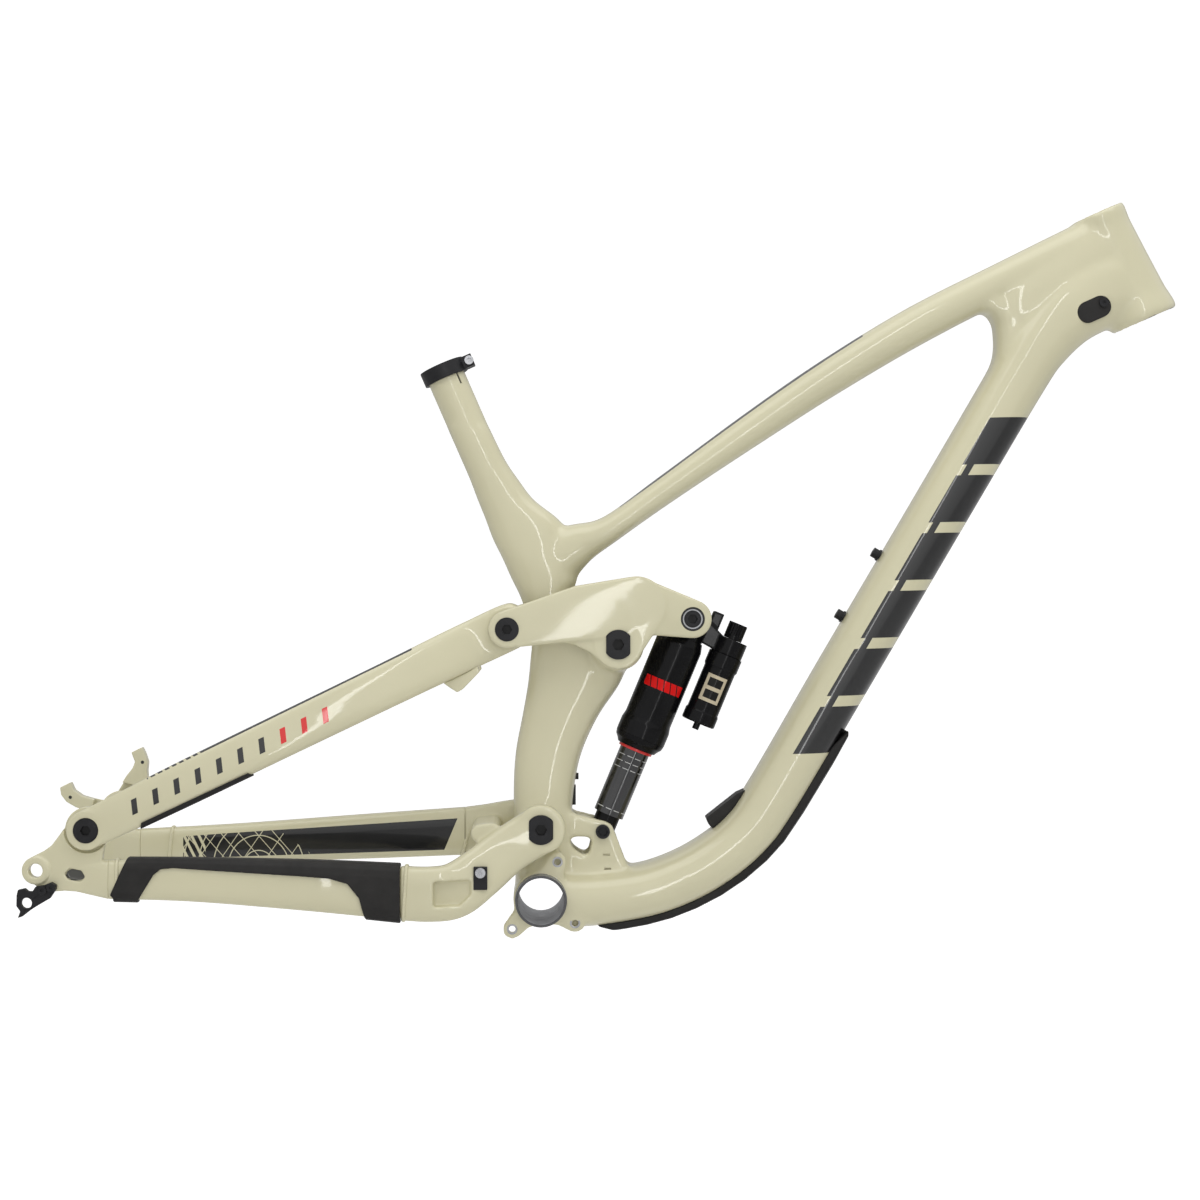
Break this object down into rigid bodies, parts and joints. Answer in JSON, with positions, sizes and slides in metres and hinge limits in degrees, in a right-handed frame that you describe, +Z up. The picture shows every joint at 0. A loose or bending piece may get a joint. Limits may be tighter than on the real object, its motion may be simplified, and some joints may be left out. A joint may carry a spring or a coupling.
{
  "type": "bicycle frame",
  "caption": "Full-suspension mountain bicycle frame with swingarm, seatstays, rocker link and a piggyback rear air shock, ready for fork, seatpost, cranks and rear wheel",
  "frame": {"origin": "centre of the bottom bracket, on its axis and in the frame's middle plane", "axes": "+X forward toward the head tube, +Z up, +Y across to the non-drive side; the drive side faces -Y"},
  "size_m": [1.023, 0.1788, 0.6592],
  "materials": {
    "painted_carbon": "gloss warm light grey-beige paint over carbon laminate",
    "guard_rubber": "matte moulded rubber",
    "bearing_steel": "ground steel",
    "bare_alloy": "machined",
    "red_ring": "satin elastomer",
    "coated_shaft": "hard-coated, satin",
    "shock_black": "gloss black anodised",
    "black_hardware": "satin black anodised"
  },
  "bodies": {
    "frame_front": {"front_triangle": "painted_carbon", "bb_shell": "bare_alloy", "seat_clamp": "black_hardware", "seat_clamp_bolt": "bearing_steel", "main_pivot_bearings": "bearing_steel", "rocker_pivot_bearings": "bearing_steel", "shock_lower_bolt": "black_hardware", "bottle_cage_bolts": "black_hardware", "down_tube_guard": "guard_rubber", "head_port_covers": "guard_rubber", "head_port_screws": "black_hardware", "down_tube_port_cover": "guard_rubber", "seat_tube_grommets": "guard_rubber"},
    "swingarm": {"chainstay_yoke": "painted_carbon", "chainstay_right": "painted_carbon", "chainstay_left": "painted_carbon", "dropout_right": "painted_carbon", "dropout_left": "painted_carbon", "chainstay_guard": "guard_rubber", "derailleur_hanger": "black_hardware", "hanger_bolts": "bearing_steel", "cable_clamp": "black_hardware", "cable_clamp_bolt": "bearing_steel", "main_pivot_axle": "bearing_steel", "main_pivot_caps": "black_hardware", "lower_stay_bolts": "black_hardware"},
    "seatstays": {"seatstay_right": "painted_carbon", "seatstay_left": "painted_carbon", "seatstay_bridge": "painted_carbon", "brake_mount": "painted_carbon", "seatstay_guard": "guard_rubber", "lower_stay_bearings": "bearing_steel", "upper_stay_bearings": "bearing_steel", "upper_stay_sleeves": "bare_alloy"},
    "rocker": {"rocker_right": "painted_carbon", "rocker_left": "painted_carbon", "rocker_pivot_axle": "bearing_steel", "rocker_pivot_caps": "black_hardware", "upper_stay_bolts": "black_hardware", "trunnion_bearings": "bearing_steel", "trunnion_bolts": "black_hardware"},
    "shock_body": {"shock_head": "shock_black", "air_can": "shock_black", "seal_head": "shock_black", "reservoir_bridge": "shock_black", "reservoir": "shock_black", "reservoir_valve": "black_hardware", "air_valve_cap": "black_hardware", "travel_ring": "red_ring", "damper_rod": "bearing_steel", "damper_piston": "bare_alloy"},
    "dial": {"compression_dial": "shock_black"},
    "shock_rod": {"shock_shaft": "coated_shaft", "air_piston": "bare_alloy", "shock_eyelet": "shock_black", "eyelet_bushing": "bare_alloy"}
  },
  "joints": [
    {"name": "swingarm_pivot", "type": "hinge", "parent": "frame_front", "child": "swingarm", "pos_m": [0, 0, 0.063], "axis": [0, 1, 0], "range_deg": [0, 20.5]},
    {"name": "seatstay_pivot", "type": "hinge", "parent": "swingarm", "child": "seatstays", "pos_m": [-0.392, 0, 0.067], "axis": [0, 1, 0], "range_deg": [-10.75, 0]},
    {"name": "rocker_pivot", "type": "hinge", "parent": "frame_front", "child": "rocker", "pos_m": [0.068, 0, 0.226], "axis": [0, 1, 0], "range_deg": [0, 53.4]},
    {"name": "shock_swing", "type": "hinge", "parent": "frame_front", "child": "shock_rod", "pos_m": [0.055, 0, 0.059], "axis": [0, 1, 0], "range_deg": [0, 6.35]},
    {"name": "shock_slide", "type": "slide", "parent": "shock_rod", "child": "shock_body", "axis": [-0.3848, 0, -0.923], "range_m": [0, 0.0597]},
    {"name": "compression_dial", "type": "hinge", "parent": "shock_body", "child": "dial", "pos_m": [0.17321, 0, 0.23211], "axis": [0.3848, 0, 0.923], "range_deg": [-150, 150]}
  ],
  "couplings": [
    {"joint": "seatstay_pivot", "follows": "swingarm_pivot", "ratio": -0.52366},
    {"joint": "rocker_pivot", "follows": "swingarm_pivot", "ratio": 2.5994},
    {"joint": "shock_swing", "follows": "swingarm_pivot", "ratio": 0.30725},
    {"joint": "shock_slide", "follows": "swingarm_pivot", "m_per_rad": 0.16653}
  ]
}
